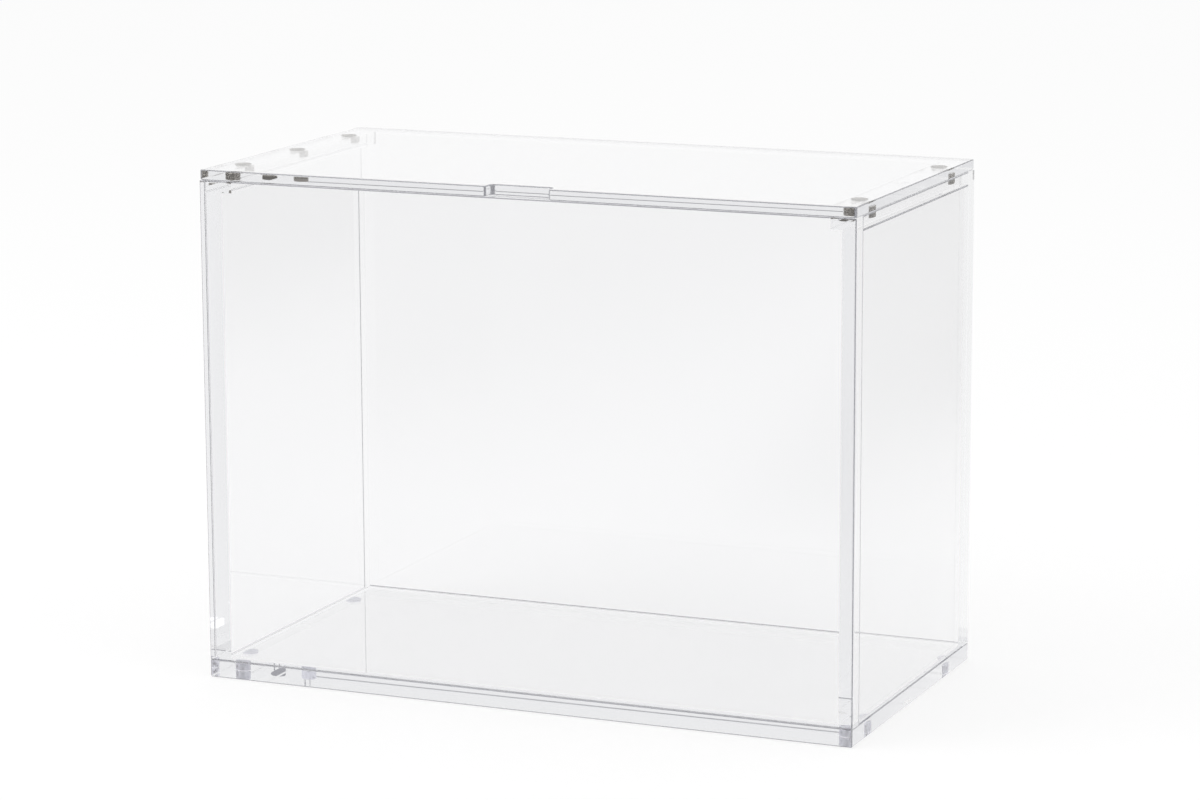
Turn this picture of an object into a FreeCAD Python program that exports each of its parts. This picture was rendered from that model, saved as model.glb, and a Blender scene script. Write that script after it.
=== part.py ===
"""Clear acrylic display case with a lift-off lid that small magnets hold down.

Millimetres. The origin is in the middle of the underside, +Z is up, +X runs along the long side,
and the finger notch in the lid faces -Y. The case is bonded from flat sheets: a base, a front and
a back panel of full width, two side walls between them, and a rail on top of each side wall. The
lid covers the whole footprint and rests on the magnets.
"""
import FreeCAD, Part
import os
import Sketcher

# Driving dimensions: name, value in millimetres or degrees, meaning
SIZES = [
    ("case_width", 210.0, "outside width along X"),
    ("case_depth", 108.0, "outside depth along Y"),
    ("case_height", 158.0, "outside height with the lid on"),
    ("base_thick", 5.5, "thickness of the base sheet"),
    ("panel_thick", 5.5, "thickness of the front and back sheets"),
    ("wall_thick", 5.5, "thickness of the side sheets"),
    ("rail_thick", 4.0, "thickness of the magnet rails"),
    ("rail_width", 9.0, "width of a magnet rail, part of it over the inside of the case"),
    ("lid_thick", 3.2, "thickness of the lid sheet"),
    ("bond_gap", 0.05, "film of cement between two bonded sheets"),
    ("lid_gap", 0.1, "slit between the lid and the sheets below, held open by the magnets"),
    ("edge_break", 0.3, "chamfer on the outer edges of the sheets"),
    ("lid_corner_radius", 1.2, "rounding of the lid's four upright corners"),
    ("lid_edge_round", 0.5, "rounding of the lid's upper outline"),
    ("notch_width", 20.0, "width of the finger notch"),
    ("notch_depth", 4.4, "depth of the finger notch behind the lid's front edge"),
    ("notch_radius", 1.5, "rounding of the notch's two inner corners"),
    ("notch_mouth_radius", 0.8, "rounding of the notch's two outer corners"),
    ("magnet_dia", 5.0, "diameter of every magnet"),
    ("magnet_edge", 0.25, "rounded rim of a magnet"),
    ("magnet_fit", 0.05, "clearance round a magnet in its hole"),
    ("magnet_seat", 0.05, "glue film between a magnet and the end of its hole"),
    ("magnet_side_inset", 5.5, "magnet axis from the case's left or right face"),
    ("magnet_end_inset", 18.0, "axis of a corner magnet from the case's front or back face"),
    ("drill_angle", 118.0, "point angle of the drilled holes"),
    ("lid_skin", 0.5, "acrylic left above a drill point in the lid"),
    ("base_skin", 1.0, "acrylic left above a drill point in the base"),
    ("rail_floor", 0.3, "acrylic left below a drill point in a rail"),
]

# Derived lengths, as expressions on the sheet
LID_BOTTOM = "(Sizes.case_height - Sizes.lid_thick)"
BODY_TOP = f"({LID_BOTTOM} - Sizes.lid_gap)"
BASE_TOP = "(Sizes.base_thick + Sizes.bond_gap)"
PANEL_HEIGHT = f"({BODY_TOP} - {BASE_TOP})"
RAIL_BOTTOM = f"({BODY_TOP} - Sizes.rail_thick)"
WALL_HEIGHT = f"({RAIL_BOTTOM} - Sizes.bond_gap - {BASE_TOP})"
SIDE_LENGTH = "(Sizes.case_depth - 2 * Sizes.panel_thick - 2 * Sizes.bond_gap)"
HOLE_DIA = "(Sizes.magnet_dia + 2 * Sizes.magnet_fit)"
DRILL_POINT = f"({HOLE_DIA} / 2 / tan(Sizes.drill_angle / 2))"
LID_HOLE = f"(Sizes.lid_thick - Sizes.lid_skin - {DRILL_POINT})"
BASE_HOLE = f"(Sizes.base_thick - Sizes.base_skin - {DRILL_POINT})"
RAIL_HOLE = f"(Sizes.rail_thick - Sizes.rail_floor - {DRILL_POINT})"
MAGNET_X = "(Sizes.case_width / 2 - Sizes.magnet_side_inset)"
MAGNET_Y = "(Sizes.case_depth / 2 - Sizes.magnet_end_inset)"
HALF_GAP = "(Sizes.lid_gap / 2)"

# Names of the magnets of a set, with the signs of their X and Y
CORNERS = [
    ("front_left", -1, -1),
    ("front_right", 1, -1),
    ("back_left", -1, 1),
    ("back_right", 1, 1),
]

# The lid and the rails have one more, in the middle of the left side
LID_PLACES = CORNERS + [("middle_left", -1, 0)]

TOLERANCE = 1e-4

# Lengths at which sketch geometry starts before its constraints set it
START_HALF_SIDE = 1.0
START_RADIUS = 0.4
START_PLACE = 1.0

doc = FreeCAD.newDocument("display_case")
sheet = doc.addObject("Spreadsheet::Sheet", "Sizes")
for row, (alias, value, meaning) in enumerate(SIZES, start=1):
    sheet.set(f"A{row}", alias)
    sheet.set(f"B{row}", str(value))
    sheet.set(f"C{row}", meaning)
    sheet.setAlias(f"B{row}", alias)
doc.recompute()

nodes = []


def new_body(label, x="0", y="0", z="0"):
    """Start a sub-part whose place follows the sheet."""
    body = doc.addObject("PartDesign::Body", label)
    body.Label = label
    for axis, place in (("x", x), ("y", y), ("z", z)):
        body.setExpression(f"Placement.Base.{axis}", place)
    nodes.append(body)
    return body


def new_sketch(body, role, name):
    """Attach an empty sketch to one of the body's own origin planes."""
    plane = next(item for item in body.Origin.OriginFeatures if item.Role == role)
    sketch = body.newObject("Sketcher::SketchObject", name)
    sketch.AttachmentSupport = [(plane, "")]
    sketch.MapMode = "FlatFace"
    return sketch


def bind(sketch, constraint, name, expression):
    """Add a named driving constraint to a sketch and tie it to the sheet."""
    index = sketch.addConstraint(constraint)
    sketch.renameConstraint(index, name)
    sketch.setExpression(f"Constraints.{name}", expression)


def draw_rectangle(sketch, width, height):
    """Draw a rectangle about the sketch's origin with bound sides."""
    half = START_HALF_SIDE
    corners = [(-half, -half), (half, -half), (half, half), (-half, half)]
    points = [FreeCAD.Vector(u, v, 0) for u, v in corners]
    for index, start in enumerate(points):
        sketch.addGeometry(Part.LineSegment(start, points[(index + 1) % 4]))
    for index in range(4):
        sketch.addConstraint(Sketcher.Constraint("Coincident", index, 2, (index + 1) % 4, 1))
        kind = "Horizontal" if index % 2 == 0 else "Vertical"
        sketch.addConstraint(Sketcher.Constraint(kind, index))
    bind(sketch, Sketcher.Constraint("DistanceX", 0, 1, 0, 2, 2 * half), "across", width)
    bind(sketch, Sketcher.Constraint("DistanceY", 1, 1, 1, 2, 2 * half), "up", height)


def centre_rectangle(sketch):
    """Hold a rectangle's two opposite corners symmetric about the sketch's origin."""
    sketch.addConstraint(Sketcher.Constraint("Symmetric", 0, 1, 1, 2, -1, 1))


def stand_rectangle(sketch):
    """Hold a rectangle's lower side on the sketch's X axis, symmetric about its Y axis."""
    sketch.addConstraint(Sketcher.Constraint("Symmetric", 0, 1, 0, 2, -1, 1))


def pad(body, sketch, length):
    """Extrude a sketch by a bound length along its normal."""
    feature = body.newObject("PartDesign::Pad", f"{body.Name}_pad")
    feature.Profile = sketch
    feature.setExpression("Length", length)
    doc.recompute()
    return feature


def flat_sheet(body, width, depth, thickness):
    """Make a lying sheet, its underside at the body's origin."""
    sketch = new_sketch(body, "XY_Plane", f"{body.Name}_outline")
    draw_rectangle(sketch, width, depth)
    centre_rectangle(sketch)
    return pad(body, sketch, thickness)


def standing_sheet(body, role, width, height, thickness):
    """Make an upright sheet, the middle of its lower edge at the body's origin."""
    sketch = new_sketch(body, role, f"{body.Name}_outline")
    draw_rectangle(sketch, width, height)
    stand_rectangle(sketch)
    return pad(body, sketch, thickness)


def edges_where(feature, test):
    """Name the edges of a feature that pass a test on the edge's box."""
    edges = feature.Shape.Edges
    return [f"Edge{number}" for number, edge in enumerate(edges, start=1) if test(edge.BoundBox)]


def on_side(feature, axis, upper):
    """Name the edges that lie wholly on the feature's last or first plane along an axis."""
    box = feature.Shape.BoundBox
    limit = getattr(box, f"{axis}{'Max' if upper else 'Min'}")

    def test(edge):
        near = abs(getattr(edge, f"{axis}Min") - limit) < TOLERANCE
        far = abs(getattr(edge, f"{axis}Max") - limit) < TOLERANCE
        return near and far

    return edges_where(feature, test)


def upright_edges(feature, test):
    """Name the straight upright edges whose plan position passes a test."""

    def upright(edge):
        return edge.XLength < TOLERANCE and edge.YLength < TOLERANCE and test(edge.XMin, edge.YMin)

    return edges_where(feature, upright)


def dress(body, kind, name, base, edges, size):
    """Chamfer or fillet named edges by a bound size."""
    if not edges:
        raise RuntimeError(f"{body.Label}: no edges for {name}")
    feature = body.newObject(f"PartDesign::{kind}", f"{body.Name}_{name}")
    feature.Base = (base, edges)
    feature.setExpression("Size" if kind == "Chamfer" else "Radius", size)
    doc.recompute()
    return feature


def draw_hole_circles(sketch, places):
    """Draw one circle per magnet, each bound in diameter and place; a sign of 0 puts it on the X axis."""
    for name, sign_x, sign_y, place_x, place_y in places:
        centre = FreeCAD.Vector(sign_x, sign_y, 0)
        circle = sketch.addGeometry(Part.Circle(centre, FreeCAD.Vector(0, 0, 1), START_RADIUS))
        bind(sketch, Sketcher.Constraint("Diameter", circle, 2 * START_RADIUS), f"{name}_dia", HOLE_DIA)
        for axis, kind, sign, place in (("x", "DistanceX", sign_x, place_x),
                                        ("y", "DistanceY", sign_y, place_y)):
            if sign == 0:
                sketch.addConstraint(Sketcher.Constraint("PointOnObject", circle, 3, -1))
                continue
            first, second = (-1, circle) if sign > 0 else (circle, -1)
            ends = (first, 1 if first == -1 else 3, second, 1 if second == -1 else 3)
            bind(sketch, Sketcher.Constraint(kind, *ends, START_PLACE), f"{name}_{axis}", place)


def cut_depth_check(body, before, feature):
    """Stop if a cut has taken nothing away."""
    if before - feature.Shape.Volume < TOLERANCE:
        raise RuntimeError(f"{body.Label}: {feature.Name} cuts nothing")


def drill(body, base, places, depth, top=None):
    """Drill blind holes with a conical end, from the sheet's top where that is given, or from below."""
    before = base.Shape.Volume
    sketch = new_sketch(body, "XY_Plane", f"{body.Name}_hole_places")
    if top:
        sketch.setExpression("AttachmentOffset.Base.z", top)
    draw_hole_circles(sketch, places)
    doc.recompute()
    feature = body.newObject("PartDesign::Hole", f"{body.Name}_holes")
    feature.Profile = sketch
    feature.Reversed = top is None
    feature.Threaded = False
    feature.DepthType = "Dimension"
    feature.DrillPoint = "Angled"
    feature.setExpression("Diameter", HOLE_DIA)
    feature.setExpression("Depth", depth)
    feature.setExpression("DrillPointAngle", "Sizes.drill_angle")
    doc.recompute()
    cut_depth_check(body, before, feature)
    return feature


def build_base_plate():
    """Base: full footprint, magnet holes from below, all outer edges broken."""
    body = new_body("base_plate")
    feature = flat_sheet(body, "Sizes.case_width", "Sizes.case_depth", "Sizes.base_thick")
    places = [(name, sx, sy, MAGNET_X, MAGNET_Y) for name, sx, sy in CORNERS]
    edges = edges_where(feature, lambda edge: True)
    feature = dress(body, "Chamfer", "edge_break", feature, edges, "Sizes.edge_break")
    drill(body, feature, places, BASE_HOLE)


def build_panels():
    """Front and back: full width, standing on the base, outer face edges broken."""
    inner_front = "-Sizes.case_depth / 2 + Sizes.panel_thick"
    for label, place_y, outer_is_back in (("front_panel", inner_front, False),
                                          ("back_panel", "Sizes.case_depth / 2", True)):
        body = new_body(label, y=place_y, z=BASE_TOP)
        feature = standing_sheet(body, "XZ_Plane", "Sizes.case_width", PANEL_HEIGHT, "Sizes.panel_thick")
        edges = on_side(feature, "Y", outer_is_back)
        dress(body, "Chamfer", "edge_break", feature, edges, "Sizes.edge_break")


def build_walls():
    """Left and right walls: between the panels, up to the rails."""
    inner_right = "Sizes.case_width / 2 - Sizes.wall_thick"
    for label, place_x, outer_is_right in (("left_wall", "-Sizes.case_width / 2", False),
                                           ("right_wall", inner_right, True)):
        body = new_body(label, x=place_x, z=BASE_TOP)
        feature = standing_sheet(body, "YZ_Plane", SIDE_LENGTH, WALL_HEIGHT, "Sizes.wall_thick")
        edges = on_side(feature, "X", outer_is_right)
        dress(body, "Chamfer", "edge_break", feature, edges, "Sizes.edge_break")


def build_rails():
    """Rails: flush with the outer side faces, with magnet holes from above."""
    for label, sign in (("left_rail", -1), ("right_rail", 1)):
        middle = f"{sign} * (Sizes.case_width - Sizes.rail_width) / 2"
        body = new_body(label, x=middle, z=RAIL_BOTTOM)
        feature = flat_sheet(body, "Sizes.rail_width", SIDE_LENGTH, "Sizes.rail_thick")
        edges = on_side(feature, "X", sign > 0)
        feature = dress(body, "Chamfer", "edge_break", feature, edges, "Sizes.edge_break")
        inward = -sign
        offset = "Sizes.magnet_side_inset - Sizes.rail_width / 2"
        places = [
            (name, inward, side_y, offset, MAGNET_Y)
            for name, side_x, side_y in LID_PLACES
            if side_x == sign
        ]
        drill(body, feature, places, RAIL_HOLE, top="Sizes.rail_thick")


def build_lid_plate():
    """Lid: rounded outline, finger notch in the front edge, magnet holes from below."""
    body = new_body("lid_plate", z=LID_BOTTOM)
    feature = flat_sheet(body, "Sizes.case_width", "Sizes.case_depth", "Sizes.lid_thick")
    corners = upright_edges(feature, lambda x, y: True)
    feature = dress(body, "Fillet", "corners", feature, corners, "Sizes.lid_corner_radius")

    before = feature.Shape.Volume
    front = feature.Shape.BoundBox.YMin
    sketch = new_sketch(body, "XY_Plane", "lid_plate_notch_outline")
    sketch.setExpression("AttachmentOffset.Base.y", "-Sizes.case_depth / 2")
    draw_rectangle(sketch, "Sizes.notch_width", "2 * Sizes.notch_depth")
    centre_rectangle(sketch)
    doc.recompute()
    notch = body.newObject("PartDesign::Pocket", "lid_plate_notch")
    notch.Profile = sketch
    notch.Reversed = True
    notch.Type = "ThroughAll"
    doc.recompute()
    cut_depth_check(body, before, notch)

    half_width = sheet.notch_width / 2

    def on_notch_side(x):
        return abs(abs(x) - half_width) < TOLERANCE

    inner = upright_edges(notch, lambda x, y: on_notch_side(x) and y > front + TOLERANCE)
    feature = dress(body, "Fillet", "notch_corners", notch, inner, "Sizes.notch_radius")
    mouth = upright_edges(feature, lambda x, y: on_notch_side(x) and y < front + TOLERANCE)
    feature = dress(body, "Fillet", "notch_mouth", feature, mouth, "Sizes.notch_mouth_radius")
    feature = dress(body, "Fillet", "upper_outline", feature, on_side(feature, "Z", True),
                    "Sizes.lid_edge_round")
    feature = dress(body, "Chamfer", "lower_outline", feature, on_side(feature, "Z", False),
                    "Sizes.edge_break")
    places = [(name, sx, sy, MAGNET_X, MAGNET_Y) for name, sx, sy in LID_PLACES]
    drill(body, feature, places, LID_HOLE)


def build_magnets():
    """Three sets of discs: in the lid, in the rails and in the base."""
    lid_seat = f"{LID_BOTTOM} - {HALF_GAP}"
    rail_seat = f"{BODY_TOP} - {RAIL_HOLE} + Sizes.magnet_seat"
    sets = [
        ("lid_magnet", LID_PLACES, lid_seat, f"{LID_HOLE} - Sizes.magnet_seat + {HALF_GAP}"),
        ("rail_magnet", LID_PLACES, rail_seat, f"{RAIL_HOLE} - Sizes.magnet_seat + {HALF_GAP}"),
        ("base_magnet", CORNERS, "0", f"{BASE_HOLE} - Sizes.magnet_seat"),
    ]
    for set_name, places, bottom, height in sets:
        for corner, sign_x, sign_y in places:
            place_x = f"{sign_x} * {MAGNET_X}"
            place_y = f"{sign_y} * {MAGNET_Y}"
            body = new_body(f"{set_name}_{corner}", place_x, place_y, bottom)
            sketch = new_sketch(body, "XY_Plane", f"{body.Name}_outline")
            disc = sketch.addGeometry(Part.Circle(FreeCAD.Vector(), FreeCAD.Vector(0, 0, 1), START_RADIUS))
            sketch.addConstraint(Sketcher.Constraint("Coincident", disc, 3, -1, 1))
            bind(sketch, Sketcher.Constraint("Diameter", disc, 2 * START_RADIUS), "dia", "Sizes.magnet_dia")
            feature = pad(body, sketch, height)
            rims = on_side(feature, "Z", True) + on_side(feature, "Z", False)
            dress(body, "Fillet", "rims", feature, rims, "Sizes.magnet_edge")


def check_and_write():
    """Stop on any failed object, then write one file per sub-part."""
    doc.recompute()
    for item in doc.Objects:
        if "Invalid" in item.State or "Error" in item.State:
            raise RuntimeError(f"{item.Name} failed: {item.State}")
    os.makedirs("parts", exist_ok=True)
    for body in nodes:
        shape = body.Shape
        if shape.isNull() or not shape.isValid() or len(shape.Solids) != 1:
            raise RuntimeError(f"{body.Label} is not one valid solid")
        shape.exportStep(f"parts/{body.Label}.step")
        box = shape.BoundBox
        print(f"{body.Label}: {shape.Volume:.1f} mm3, x {box.XMin:.2f} to {box.XMax:.2f}, "
              f"y {box.YMin:.2f} to {box.YMax:.2f}, z {box.ZMin:.2f} to {box.ZMax:.2f}")


build_base_plate()
build_panels()
build_walls()
build_rails()
build_lid_plate()
build_magnets()
check_and_write()
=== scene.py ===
"""Looks of the clear acrylic display case: its sheets, its magnets, and a white studio stage."""
import math

import bmesh
import bpy
from bpy.props import FloatProperty, FloatVectorProperty, PointerProperty
from mathutils import Matrix, Vector


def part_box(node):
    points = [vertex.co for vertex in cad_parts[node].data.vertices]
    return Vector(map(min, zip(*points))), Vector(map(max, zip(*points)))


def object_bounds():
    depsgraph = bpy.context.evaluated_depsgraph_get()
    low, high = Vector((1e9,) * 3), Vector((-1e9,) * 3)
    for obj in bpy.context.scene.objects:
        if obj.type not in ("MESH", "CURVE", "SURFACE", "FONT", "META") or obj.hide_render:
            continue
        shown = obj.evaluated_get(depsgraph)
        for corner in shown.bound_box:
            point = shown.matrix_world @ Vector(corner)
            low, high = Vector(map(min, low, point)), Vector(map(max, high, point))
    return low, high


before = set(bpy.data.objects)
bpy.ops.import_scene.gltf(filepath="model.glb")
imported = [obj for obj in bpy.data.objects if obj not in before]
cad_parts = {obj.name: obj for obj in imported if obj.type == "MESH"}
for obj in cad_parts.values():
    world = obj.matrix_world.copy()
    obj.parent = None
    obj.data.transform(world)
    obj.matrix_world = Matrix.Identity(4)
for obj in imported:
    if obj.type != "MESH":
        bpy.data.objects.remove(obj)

bl_info = {
    "name": "Acrylic display case",
    "version": (1, 0, 0),
    "blender": (4, 5, 0),
    "location": "3D View > Sidebar > Display Case",
    "description": "Finishes the sheets and magnets of a clear display case on a white stage",
    "category": "Object",
}

CAD_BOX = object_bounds()
MM = 0.001

# Number of reflections inside the sheets at which a ray ends in a painted glow, which stands in for the light
# from behind the case
LAST_REFLECTION = 4.0

# Reach of the holes around and beyond their magnets
HOLE_REACH = 0.12 * MM

BLACK = (0.0, 0.0, 0.0, 1.0)
WHITE = (1.0, 1.0, 1.0, 1.0)

# Margins of the bonded faces: from the outer edges, and about the hollow of the case
EDGE_MARGIN = 0.31 * MM
HOLLOW_SKIN = 0.02 * MM

# Smudged film: its greatest share, and how much of the tint it lets through
FILM_SHARE = 0.25
FILM_TINT = 0.97

# Strength and depth of the bumps on the sheets and on the plate
SHEET_BUMP = (0.08, 0.02 * MM)
PLATE_BUMP = (0.15, 0.01 * MM)

# Studio for mirrored rays: levels towards the camera, beside the case and on the dark flag,
# and where the sides start and end, on the floor in metres and in the world by direction
CAMERA_LEVEL = 0.6
SIDE_LEVEL = 0.65
FLAG_LEVEL = 0.03
FLOOR_SIDES = (0.10, 0.30)
WORLD_SIDES = (0.45, 0.85)

# Sheets, each with the axis of its thickness
SHEET_AXES = {
    "base_plate": 2,
    "front_panel": 1,
    "back_panel": 1,
    "left_wall": 0,
    "right_wall": 0,
    "left_rail": 2,
    "right_rail": 2,
    "lid_plate": 2,
}
BONDED_SHEETS = [name for name in SHEET_AXES if name != "lid_plate"]
MAGNETS = sorted(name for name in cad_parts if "_magnet_" in name)

# Places read from the frame
OUTER_LOW, OUTER_HIGH = CAD_BOX
BASE_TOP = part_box("base_plate")[1].z
BODY_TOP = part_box("front_panel")[1].z
INNER_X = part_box("right_wall")[0].x
INNER_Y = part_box("back_panel")[0].y
RAIL_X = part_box("right_rail")[0].x
RAIL_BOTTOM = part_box("right_rail")[0].z
MAGNET_LOW, MAGNET_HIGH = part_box("rail_magnet_back_right")
MAGNET_X = (MAGNET_LOW.x + MAGNET_HIGH.x) / 2
MAGNET_Y = (MAGNET_LOW.y + MAGNET_HIGH.y) / 2
MAGNET_RADIUS = (MAGNET_HIGH.x - MAGNET_LOW.x) / 2


class AcrylicLook(bpy.types.PropertyGroup):
    """Values of the clear sheets that a user would change."""

    tint: FloatVectorProperty(
        name="Tint", description="Colour of the light that the sheet lets through",
        subtype="COLOR", size=3, min=0.0, max=1.0, default=(0.992, 0.992, 0.995))
    refraction: FloatProperty(
        name="Refractive index", description="Index of cast acrylic", default=1.49, min=1.0, max=2.0)
    polish: FloatProperty(
        name="Polish", description="Roughness of the clean faces", subtype="FACTOR",
        default=0.004, min=0.0, max=1.0)
    smudge: FloatProperty(
        name="Smudges", description="Roughness that handling adds in patches", subtype="FACTOR",
        default=0.03, min=0.0, max=1.0)
    edge_polish: FloatProperty(
        name="Edge polish", description="Roughness of the cut and polished edges", subtype="FACTOR",
        default=0.012, min=0.0, max=1.0)
    # Painted shade on the bevels along the edges: a dark colour that draws the grey lines of the edges.
    painted_edge_shade: FloatVectorProperty(
        name="Painted edge shade", description="Painted shade on the bevels along the edges",
        subtype="COLOR", size=3, min=0.0, max=1.0, default=(0.18, 0.18, 0.20))
    scraped: FloatProperty(
        name="Scraped", description="Roughness of the scraped bevels",
        subtype="FACTOR", default=0.2, min=0.0, max=1.0)
    depth_colour: FloatVectorProperty(
        name="Depth colour", description="Colour that a long way through the sheet tends to",
        subtype="COLOR", size=3, min=0.0, max=1.0, default=(0.52, 0.53, 0.57))
    depth_density: FloatProperty(
        name="Depth density", description="How fast the depth colour sets in, per metre",
        default=3.5, min=0.0, max=100.0)
    # Painted glow where rays end after many reflections inside the sheets, standing in for the light from
    # behind the case: the back glow at the back, the front glow at the front.
    painted_back_glow: FloatVectorProperty(
        name="Painted back glow", description="Painted glow that a ray meets at the back, after many reflections",
        subtype="COLOR", size=3, min=0.0, max=1.0, default=(1.0, 1.0, 1.0))
    painted_front_glow: FloatVectorProperty(
        name="Painted front glow", description="Painted glow that a ray meets at the front, after many reflections",
        subtype="COLOR", size=3, min=0.0, max=1.0, default=(0.95, 0.95, 0.96))


class MagnetLook(bpy.types.PropertyGroup):
    """Values of the plated magnets that a user would change."""

    plate: FloatVectorProperty(
        name="Plate", description="Colour of the nickel plate", subtype="COLOR", size=3,
        min=0.0, max=1.0, default=(0.30, 0.285, 0.265))
    tarnish: FloatVectorProperty(
        name="Tarnish", description="Colour of the dull patches on the plate", subtype="COLOR", size=3,
        min=0.0, max=1.0, default=(0.16, 0.15, 0.135))
    gloss: FloatProperty(
        name="Gloss", description="Roughness of the bright plate", subtype="FACTOR",
        default=0.05, min=0.0, max=1.0)
    # Painted light: the magnets in the base get a paler, lavender copy of the plate colour, for how washed
    # out they look through the base plate.
    base_plate: FloatVectorProperty(
        name="Base plate", description="Colour of the plate on the magnets in the base", subtype="COLOR",
        size=3, min=0.0, max=1.0, default=(0.80, 0.80, 0.86))
    base_gloss: FloatProperty(
        name="Base gloss", description="Roughness of the plate on the magnets in the base",
        subtype="FACTOR", default=0.35, min=0.0, max=1.0)


class StageLook(bpy.types.PropertyGroup):
    """Values of the floor, the light and the camera that a user would change."""

    floor: FloatVectorProperty(
        name="Floor", description="Colour of the floor", subtype="COLOR", size=3,
        min=0.0, max=1.0, default=(0.92, 0.92, 0.92))
    floor_size: FloatProperty(
        name="Floor size", description="Side of the floor", unit="LENGTH", default=14.0, min=1.0)
    azimuth: FloatProperty(
        name="Azimuth", description="Turn of the camera about the case", subtype="ANGLE",
        default=math.radians(23.1138))
    elevation: FloatProperty(
        name="Elevation", description="Height of the camera above the horizon", subtype="ANGLE",
        default=math.radians(11.2091))
    roll: FloatProperty(
        name="Roll", description="Roll of the camera", subtype="ANGLE", default=math.radians(-0.2285))
    eye: FloatVectorProperty(
        name="Eye", description="Place of the camera", subtype="TRANSLATION", size=3,
        default=(0.48173, -1.12126, 0.32679))
    lens: FloatProperty(
        name="Lens", description="Focal length of the camera in millimetres", default=121.509, min=10.0)


def sockets(tree, direction, names):
    """Add float, colour or vector sockets to a node group."""
    for name, kind in names:
        tree.interface.new_socket(name=name, in_out=direction, socket_type=f"NodeSocket{kind}")


def new_group(name, inputs, outputs):
    """Start a shader node group with its own input and output nodes."""
    tree = bpy.data.node_groups.new(name, "ShaderNodeTree")
    sockets(tree, "INPUT", inputs)
    sockets(tree, "OUTPUT", outputs)
    return tree, tree.nodes.new("NodeGroupInput"), tree.nodes.new("NodeGroupOutput")


def feed(tree, socket, value):
    """Link a socket to another, or set its value."""
    if isinstance(value, bpy.types.NodeSocket):
        tree.links.new(value, socket)
    else:
        socket.default_value = value


def calc(tree, operation, first, second=0.0, third=None):
    """Add a Math node and return its result."""
    node = tree.nodes.new("ShaderNodeMath")
    node.operation = operation
    feed(tree, node.inputs[0], first)
    feed(tree, node.inputs[1], second)
    if third is not None:
        feed(tree, node.inputs[2], third)
    return node.outputs[0]


def product(tree, *factors):
    """Multiply any number of values."""
    result = factors[0]
    for factor in factors[1:]:
        result = calc(tree, "MULTIPLY", result, factor)
    return result


def split(tree, vector):
    """Return the three parts of a vector."""
    node = tree.nodes.new("ShaderNodeSeparateXYZ")
    feed(tree, node.inputs[0], vector)
    return node.outputs


def stretched(tree, vector, scale, turn=(0.0, 0.0, 0.0)):
    """Return a vector turned and scaled by a Mapping node."""
    node = tree.nodes.new("ShaderNodeMapping")
    feed(tree, node.inputs["Vector"], vector)
    node.inputs["Rotation"].default_value = turn
    node.inputs["Scale"].default_value = scale
    return node.outputs[0]


def noise(tree, vector, scale, detail=2.0, roughness=0.5):
    """Return the value of a noise texture."""
    node = tree.nodes.new("ShaderNodeTexNoise")
    feed(tree, node.inputs["Vector"], vector)
    node.inputs["Scale"].default_value = scale
    node.inputs["Detail"].default_value = detail
    node.inputs["Roughness"].default_value = roughness
    return node.outputs[0]


def ramp(tree, value, low, high, to_low=0.0, to_high=1.0):
    """Map a range of values smoothly to another."""
    node = tree.nodes.new("ShaderNodeMapRange")
    node.interpolation_type = "SMOOTHSTEP"
    feed(tree, node.inputs["Value"], value)
    feed(tree, node.inputs["From Min"], low)
    feed(tree, node.inputs["From Max"], high)
    feed(tree, node.inputs["To Min"], to_low)
    feed(tree, node.inputs["To Max"], to_high)
    return node.outputs[0]


def blend_colours(tree, factor, first, second):
    """Mix two colours by a factor."""
    node = tree.nodes.new("ShaderNodeMix")
    node.data_type = "RGBA"
    feed(tree, node.inputs["Factor"], factor)
    feed(tree, node.inputs["A"], first)
    feed(tree, node.inputs["B"], second)
    return node.outputs["Result"]


def group_node(tree, group, **values):
    """Place a node group and feed its inputs by name."""
    node = tree.nodes.new("ShaderNodeGroup")
    node.node_tree = group
    for name, value in values.items():
        feed(tree, node.inputs[name.replace("_", " ")], value)
    return node


def handled_sheet_group():
    """Fine wipe marks, smudges and the slight waviness of cast sheet."""
    tree, inside, outside = new_group(
        "Handled sheet",
        [("Place", "Vector"), ("Smudge", "Float")],
        [("Rough", "Float"), ("Height", "Float"), ("Film", "Float")])
    place = inside.outputs["Place"]
    patches = ramp(tree, noise(tree, place, 18.0, 4.0, 0.6), 0.50, 0.78)
    first_marks = noise(tree, stretched(tree, place, (40.0, 2600.0, 2600.0), (0.2, 0.5, 0.6)), 1.0, 1.0)
    second_marks = noise(tree, stretched(tree, place, (2600.0, 60.0, 2600.0), (0.7, 0.1, -0.4)), 1.0, 1.0)
    marks = calc(tree, "MAXIMUM", ramp(tree, first_marks, 0.70, 0.78), ramp(tree, second_marks, 0.71, 0.79))
    rough = product(tree, calc(tree, "MAXIMUM", patches, marks), inside.outputs["Smudge"])
    waves = noise(tree, place, 14.0, 1.0)
    height = calc(tree, "SUBTRACT", waves, product(tree, marks, 0.02))
    feed(tree, outside.inputs["Rough"], rough)
    feed(tree, outside.inputs["Height"], height)
    feed(tree, outside.inputs["Film"], patches)
    return tree


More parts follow.
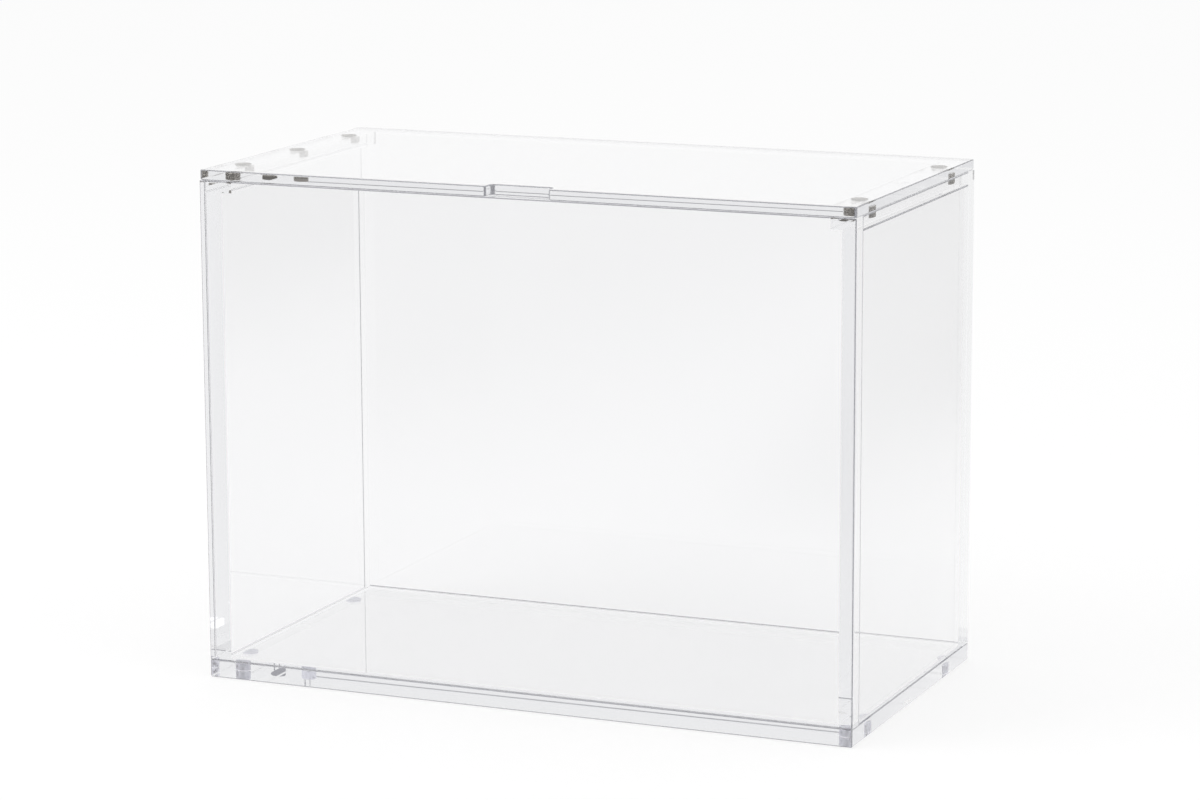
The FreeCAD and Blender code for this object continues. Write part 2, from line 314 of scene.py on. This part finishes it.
def cut_edge_group():
    """Mask of a sheet's cut edges, with the faint lines that the cutter leaves across them."""
    tree, inside, outside = new_group(
        "Cut edge",
        [("Place", "Vector"), ("Facing", "Vector"), ("Axis", "Vector")],
        [("Mask", "Float"), ("Bevel", "Float"), ("Height", "Float")])
    dot = tree.nodes.new("ShaderNodeVectorMath")
    dot.operation = "DOT_PRODUCT"
    feed(tree, dot.inputs[0], inside.outputs["Facing"])
    feed(tree, dot.inputs[1], inside.outputs["Axis"])
    along = calc(tree, "ABSOLUTE", dot.outputs["Value"])
    mask = ramp(tree, along, 0.35, 0.6, 1.0, 0.0)
    lines = noise(tree, stretched(tree, inside.outputs["Place"], (1400.0, 1400.0, 90.0)), 1.0, 1.0)
    across, deep, high = (calc(tree, "ABSOLUTE", part) for part in split(tree, inside.outputs["Facing"]))
    squarest = calc(tree, "MAXIMUM", calc(tree, "MAXIMUM", across, deep), high)
    feed(tree, outside.inputs["Mask"], mask)
    feed(tree, outside.inputs["Bevel"], ramp(tree, squarest, 0.93, 0.98, 1.0, 0.0))
    feed(tree, outside.inputs["Height"], product(tree, lines, mask))
    return tree


def magnet_hole_group():
    """Mask of the magnet holes, which are filled with clear glue, so that their walls don't show."""
    tree, inside, outside = new_group("Magnet hole", [("Place", "Vector")], [("Mask", "Float")])
    x, y, z = split(tree, inside.outputs["Place"])
    off_x = calc(tree, "SUBTRACT", calc(tree, "ABSOLUTE", x), MAGNET_X)
    deep = calc(tree, "ABSOLUTE", y)
    from_corner = calc(tree, "ABSOLUTE", calc(tree, "SUBTRACT", deep, MAGNET_Y))
    off_y = calc(tree, "MINIMUM", deep, from_corner)
    distance = calc(tree, "SQRT", calc(tree, "ADD", product(tree, off_x, off_x), product(tree, off_y, off_y)))
    near = calc(tree, "LESS_THAN", distance, MAGNET_RADIUS + HOLE_REACH)
    in_top = product(
        tree,
        calc(tree, "GREATER_THAN", z, RAIL_BOTTOM + HOLE_REACH),
        calc(tree, "LESS_THAN", z, OUTER_HIGH.z - HOLE_REACH))
    in_base = calc(tree, "LESS_THAN", z, BASE_TOP - HOLE_REACH)
    feed(tree, outside.inputs["Mask"], product(tree, near, calc(tree, "MAXIMUM", in_top, in_base)))
    return tree


def bonded_face_group():
    """Mask of the faces that are cemented to another sheet, so that they don't show."""
    tree, inside, outside = new_group(
        "Bonded face", [("Place", "Vector"), ("Hole", "Float")], [("Mask", "Float")])
    x, y, z = split(tree, inside.outputs["Place"])
    across = calc(tree, "ABSOLUTE", x)
    deep = calc(tree, "ABSOLUTE", y)
    in_outline = product(
        tree,
        calc(tree, "LESS_THAN", across, OUTER_HIGH.x - EDGE_MARGIN),
        calc(tree, "LESS_THAN", deep, OUTER_HIGH.y - EDGE_MARGIN),
        calc(tree, "GREATER_THAN", z, OUTER_LOW.z + EDGE_MARGIN),
        calc(tree, "LESS_THAN", z, BODY_TOP - EDGE_MARGIN))
    below_rail = product(
        tree,
        calc(tree, "LESS_THAN", across, INNER_X + HOLLOW_SKIN),
        calc(tree, "LESS_THAN", z, RAIL_BOTTOM + HOLLOW_SKIN))
    between_rails = calc(tree, "LESS_THAN", across, RAIL_X + HOLLOW_SKIN)
    hollow = product(
        tree,
        calc(tree, "MAXIMUM", below_rail, between_rails),
        calc(tree, "LESS_THAN", deep, INNER_Y + HOLLOW_SKIN),
        calc(tree, "GREATER_THAN", z, BASE_TOP - HOLLOW_SKIN))
    mask = product(
        tree,
        in_outline,
        calc(tree, "SUBTRACT", 1.0, hollow),
        calc(tree, "SUBTRACT", 1.0, inside.outputs["Hole"]))
    feed(tree, outside.inputs["Mask"], mask)
    return tree


def painted_glow_share_group():
    """Share of the painted back glow against the painted front glow at a place inside the sheets: it rises
    from the front of the case to the back.
    """
    tree, inside, outside = new_group("Painted glow share", [("Place", "Vector")], [("Share", "Float")])
    _x, y, _z = split(tree, inside.outputs["Place"])
    feed(tree, outside.inputs["Share"], ramp(tree, y, OUTER_LOW.y, OUTER_HIGH.y))
    return tree


def plated_metal_group():
    """Fine scratches and dull patches of nickel plate."""
    tree, inside, outside = new_group(
        "Plated metal", [("Place", "Vector")], [("Dull", "Float"), ("Height", "Float")])
    place = inside.outputs["Place"]
    patches = ramp(tree, noise(tree, place, 700.0, 3.0, 0.6), 0.52, 0.75)
    scratches = noise(tree, stretched(tree, place, (900.0, 9000.0, 900.0), (0.1, 0.2, 0.7)), 1.0, 1.0)
    lines = ramp(tree, scratches, 0.62, 0.72)
    feed(tree, outside.inputs["Dull"], calc(tree, "MAXIMUM", patches, product(tree, lines, 0.7)))
    grain = noise(tree, place, 1500.0)
    feed(tree, outside.inputs["Height"], calc(tree, "ADD", grain, product(tree, lines, -0.4)))
    return tree


def new_material(name):
    """Start a material with a Principled shader."""
    material = bpy.data.materials.new(name)
    material.use_nodes = True
    tree = material.node_tree
    shader = next(node for node in tree.nodes if node.type == "BSDF_PRINCIPLED")
    output = next(node for node in tree.nodes if node.type == "OUTPUT_MATERIAL")
    return material, tree, shader, output


def add_bump(tree, shader, height, values):
    """Bump a shader's normal by a height, with a strength and a depth."""
    bump = tree.nodes.new("ShaderNodeBump")
    bump.inputs["Strength"].default_value, bump.inputs["Distance"].default_value = values
    feed(tree, bump.inputs["Height"], height)
    feed(tree, shader.inputs["Normal"], bump.outputs["Normal"])


def acrylic_material(name, axis, bonded, look, groups):
    """Clear acrylic for a sheet whose thickness runs along one axis, with painted shade on its bevels and a
    painted glow where rays end after many reflections.
    """
    material, tree, shader, output = new_material(name)
    coordinates = tree.nodes.new("ShaderNodeTexCoord")
    place = coordinates.outputs["Object"]
    thickness = [1.0 if index == axis else 0.0 for index in range(3)]
    handled = group_node(tree, groups["handled"], Place=place, Smudge=look.smudge)
    edge = group_node(tree, groups["edge"], Place=place, Facing=coordinates.outputs["Normal"], Axis=thickness)
    hole = group_node(tree, groups["hole"], Place=place)

    film = product(tree, handled.outputs["Film"], FILM_SHARE)
    clean = (*look.tint, 1.0)
    filmed = tuple(channel * FILM_TINT for channel in look.tint) + (1.0,)
    bevel = edge.outputs["Bevel"]
    # Painted glow: from the last reflection on, the sheet's base colour turns black, and at the last
    # reflection it glows with a grey, greyer towards the front, that stands in for the light from behind the
    # case.
    path = tree.nodes.new("ShaderNodeLightPath")
    lost = calc(tree, "GREATER_THAN", path.outputs["Glossy Depth"], LAST_REFLECTION - 0.5)
    painted_glow_mask = calc(tree, "COMPARE", path.outputs["Glossy Depth"], LAST_REFLECTION, 0.5)
    light = group_node(tree, groups["light"], Place=place)
    glow = blend_colours(tree, light.outputs["Share"], (*look.painted_front_glow, 1.0), (*look.painted_back_glow, 1.0))
    faces = blend_colours(tree, film, clean, filmed)
    # Painted shade: the bevels take a dark colour, which draws grey lines along the edges.
    sheet = blend_colours(tree, bevel, faces, (*look.painted_edge_shade, 1.0))
    feed(tree, shader.inputs["Base Color"], blend_colours(tree, lost, sheet, BLACK))
    feed(tree, shader.inputs["Emission Color"], blend_colours(tree, painted_glow_mask, BLACK, glow))
    shader.inputs["Emission Strength"].default_value = 1.0
    rough = calc(tree, "ADD", handled.outputs["Rough"], look.polish)
    rough = calc(tree, "MAXIMUM", rough, product(tree, edge.outputs["Mask"], look.edge_polish))
    rough = calc(tree, "MAXIMUM", rough, product(tree, bevel, look.scraped))
    feed(tree, shader.inputs["Roughness"], rough)

    height = calc(tree, "ADD", handled.outputs["Height"], edge.outputs["Height"])
    add_bump(tree, shader, height, SHEET_BUMP)
    joined = hole.outputs["Mask"]
    if bonded:
        bond = group_node(tree, groups["bond"], Place=place, Hole=hole.outputs["Mask"])
        joined = calc(tree, "MAXIMUM", joined, bond.outputs["Mask"])
    feed(tree, shader.inputs["Alpha"], calc(tree, "SUBTRACT", 1.0, joined))

    shader.inputs["Transmission Weight"].default_value = 1.0
    shader.inputs["IOR"].default_value = look.refraction
    absorption = tree.nodes.new("ShaderNodeVolumeAbsorption")
    absorption.inputs["Color"].default_value = (*look.depth_colour, 1.0)
    absorption.inputs["Density"].default_value = look.depth_density
    tree.links.new(absorption.outputs[0], output.inputs["Volume"])
    return material


def nickel_material(name, plate, gloss, look, group):
    """Nickel plate with fine wear, and a painted glow in the plate colour where rays end after many
    reflections.
    """
    material, tree, shader, _output = new_material(name)
    place = tree.nodes.new("ShaderNodeTexCoord").outputs["Object"]
    plated = group_node(tree, group, Place=place)
    dull = product(tree, plated.outputs["Dull"], 0.5)
    feed(tree, shader.inputs["Base Color"], blend_colours(tree, dull, (*plate, 1.0), (*look.tarnish, 1.0)))
    feed(tree, shader.inputs["Roughness"], ramp(tree, plated.outputs["Dull"], 0.0, 1.0, gloss, gloss + 0.2))
    add_bump(tree, shader, plated.outputs["Height"], PLATE_BUMP)
    shader.inputs["Metallic"].default_value = 1.0
    # Painted glow: from the last reflection on, the plate glows in its own colour at half strength.
    path = tree.nodes.new("ShaderNodeLightPath")
    lost = calc(tree, "GREATER_THAN", path.outputs["Glossy Depth"], LAST_REFLECTION - 0.5)
    feed(tree, shader.inputs["Emission Color"], blend_colours(tree, lost, BLACK, (*plate, 1.0)))
    shader.inputs["Emission Strength"].default_value = 0.5
    return material


def dress(node_name, material):
    """Give a CAD node one material in every slot."""
    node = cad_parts[node_name]
    if not node.material_slots:
        node.data.materials.append(material)
    for slot in node.material_slots:
        slot.material = material


class CASE_OT_sheets(bpy.types.Operator):
    """Finish the clear sheets of the case"""

    bl_idname = "case.sheets"
    bl_label = "Finish sheets"

    def execute(self, context):
        look = context.scene.case_acrylic
        groups = {
            "handled": handled_sheet_group(),
            "edge": cut_edge_group(),
            "hole": magnet_hole_group(),
            "bond": bonded_face_group(),
            "light": painted_glow_share_group(),
        }
        for name, axis in SHEET_AXES.items():
            material = acrylic_material(f"acrylic_{name}", axis, name in BONDED_SHEETS, look, groups)
            dress(name, material)
        return {"FINISHED"}


class CASE_OT_magnets(bpy.types.Operator):
    """Finish the magnets"""

    bl_idname = "case.magnets"
    bl_label = "Finish magnets"

    def execute(self, context):
        if not MAGNETS:
            raise RuntimeError("the frame has no magnets")
        look = context.scene.case_magnet
        group = plated_metal_group()
        bright = nickel_material("bright_nickel", look.plate, look.gloss, look, group)
        # The magnets in the base get the pale copy of the plate, which is painted light.
        painted_pale = nickel_material("painted_pale_nickel", look.base_plate, look.base_gloss, look, group)
        for name in MAGNETS:
            dress(name, painted_pale if name.startswith("base_") else bright)
        return {"FINISHED"}


def ray_kinds(tree):
    """Return masks of rays that see the stage straight or through clear sheets, and of mirrored rays."""
    path = tree.nodes.new("ShaderNodeLightPath")
    mirrored = calc(tree, "GREATER_THAN", path.outputs["Glossy Depth"], 0.5)
    seen = calc(tree, "MAXIMUM", path.outputs["Is Camera Ray"], path.outputs["Is Transmission Ray"])
    straight = product(tree, seen, calc(tree, "SUBTRACT", 1.0, mirrored))
    return straight, mirrored


def studio_level(tree, x, y, sides):
    """Brightness that mirrored rays meet: white behind the case, greyer beside it and at the camera."""
    behind = ramp(tree, y, -0.5, 0.2, CAMERA_LEVEL, 1.0)
    beside = ramp(tree, calc(tree, "ABSOLUTE", x), *sides, 1.0, SIDE_LEVEL)
    return product(tree, behind, beside)


def camera_flag(tree, x, y):
    """Share of light left by a dark flag on the floor towards the camera, which the magnets mirror."""
    ahead = calc(tree, "MAXIMUM", calc(tree, "MULTIPLY", y, -1.0), 0.02)
    bearing = calc(tree, "DIVIDE", x, ahead)
    flag = product(
        tree,
        ramp(tree, bearing, -0.25, -0.05),
        ramp(tree, bearing, 1.6, 2.2, 1.0, 0.0),
        ramp(tree, y, -0.45, -0.2, 1.0, 0.0))
    return ramp(tree, flag, 0.0, 1.0, 1.0, FLAG_LEVEL)


def make_floor(look):
    """Lay a pale floor that reads as white and keeps a soft shadow."""
    shape = bmesh.new()
    bmesh.ops.create_grid(shape, x_segments=1, y_segments=1, size=look.floor_size / 2)
    bmesh.ops.translate(shape, verts=shape.verts, vec=(0.0, 0.0, -0.3 * MM))
    mesh = bpy.data.meshes.new("floor")
    shape.to_mesh(mesh)
    shape.free()
    floor = bpy.data.objects.new("floor", mesh)
    bpy.context.scene.collection.objects.link(floor)
    material, tree, shader, output = new_material("pale_floor")
    place = tree.nodes.new("ShaderNodeTexCoord").outputs["Object"]
    grain = noise(tree, place, 60.0)
    colour = blend_colours(tree, grain, (*look.floor, 1.0), tuple(c * 0.99 for c in look.floor) + (1.0,))
    feed(tree, shader.inputs["Base Color"], colour)
    shader.inputs["Roughness"].default_value = 0.9
    straight, mirrored = ray_kinds(tree)
    x, y, _z = split(tree, place)
    glow = tree.nodes.new("ShaderNodeEmission")
    glow.inputs["Color"].default_value = WHITE
    level = product(tree, studio_level(tree, x, y, FLOOR_SIDES), camera_flag(tree, x, y))
    feed(tree, glow.inputs["Strength"], ramp(tree, mirrored, 0.0, 1.0, 1.0, level))
    mix = tree.nodes.new("ShaderNodeMixShader")
    feed(tree, mix.inputs[0], product(tree, calc(tree, "MAXIMUM", straight, mirrored), 0.8))
    tree.links.new(shader.outputs[0], mix.inputs[1])
    tree.links.new(glow.outputs[0], mix.inputs[2])
    tree.links.new(mix.outputs[0], output.inputs["Surface"])
    floor.data.materials.append(material)


def make_world():
    """White behind the case, greyer towards the camera's side, as in a bright-field set."""
    world = bpy.data.worlds.new("studio")
    world.use_nodes = True
    bpy.context.scene.world = world
    tree = world.node_tree
    background = next(node for node in tree.nodes if node.type == "BACKGROUND")
    direction = tree.nodes.new("ShaderNodeTexCoord").outputs["Generated"]
    x, y, z = split(tree, direction)
    straight, mirrored = ray_kinds(tree)
    overhead = ramp(tree, z, 0.45, 0.85)
    field = calc(tree, "MAXIMUM", studio_level(tree, x, y, WORLD_SIDES), overhead)
    level = ramp(tree, straight, 0.0, 1.0, 0.9, 1.0)
    background.inputs["Color"].default_value = WHITE
    feed(tree, background.inputs["Strength"], ramp(tree, mirrored, 0.0, 1.0, level, field))


def make_lamp(name, place, aim, size, power):
    """Hang a square soft light that points at a place."""
    data = bpy.data.lights.new(name, "AREA")
    data.shape = "SQUARE"
    data.size = size
    data.energy = power
    lamp = bpy.data.objects.new(name, data)
    lamp.location = place
    lamp.rotation_euler = (Vector(aim) - Vector(place)).to_track_quat("-Z", "Y").to_euler()
    bpy.context.scene.collection.objects.link(lamp)


def make_camera(look):
    """Set the camera at the viewing angle of the reference."""
    data = bpy.data.cameras.new("camera")
    data.sensor_fit = "HORIZONTAL"
    data.sensor_width = 36.0
    data.lens = look.lens
    data.clip_start = 0.01
    data.clip_end = 100.0
    camera = bpy.data.objects.new("camera", data)
    turn, rise = look.azimuth, look.elevation
    back = Vector((math.sin(turn) * math.cos(rise), -math.cos(turn) * math.cos(rise), math.sin(rise)))
    right = Vector((0.0, 0.0, 1.0)).cross(back).normalized()
    up = back.cross(right)
    upright = Matrix((right, up, back)).transposed()
    turned = upright @ Matrix.Rotation(look.roll, 3, "Z")
    camera.matrix_world = Matrix.Translation(look.eye) @ turned.to_4x4()
    bpy.context.scene.collection.objects.link(camera)
    bpy.context.scene.camera = camera


class CASE_OT_stage(bpy.types.Operator):
    """Set up the floor, the light and the camera"""

    bl_idname = "case.stage"
    bl_label = "Set stage"

    def execute(self, context):
        look = context.scene.case_stage
        make_floor(look)
        make_world()
        make_lamp("key_light", (-0.7, -0.6, 1.0), (0.0, 0.0, 0.08), 0.8, 6.0)
        make_lamp("fill_light", (1.0, -0.2, 0.8), (0.0, 0.0, 0.08), 0.8, 3.0)
        make_camera(look)
        context.scene.view_settings.view_transform = "Standard"
        return {"FINISHED"}


OPERATORS = [CASE_OT_sheets, CASE_OT_magnets, CASE_OT_stage]


class CASE_PT_panel(bpy.types.Panel):
    """Sidebar panel with the steps of the case"""

    bl_idname = "CASE_PT_panel"
    bl_label = "Display Case"
    bl_space_type = "VIEW_3D"
    bl_region_type = "UI"
    bl_category = "Display Case"

    def draw(self, context):
        for operator in OPERATORS:
            self.layout.operator(operator.bl_idname)


LOOKS = {"case_acrylic": AcrylicLook, "case_magnet": MagnetLook, "case_stage": StageLook}
CLASSES = [*LOOKS.values(), *OPERATORS, CASE_PT_panel]


def register():
    """Register the classes and hang their values on the scene."""
    for cls in CLASSES:
        bpy.utils.register_class(cls)
    for name, cls in LOOKS.items():
        setattr(bpy.types.Scene, name, PointerProperty(type=cls))


def unregister():
    """Take the values and the classes away again."""
    for name in LOOKS:
        delattr(bpy.types.Scene, name)
    for cls in reversed(CLASSES):
        bpy.utils.unregister_class(cls)


def main():
    """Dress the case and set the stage."""
    register()
    bpy.ops.case.sheets()
    bpy.ops.case.magnets()
    bpy.ops.case.stage()


if __name__ == "__main__":
    main()
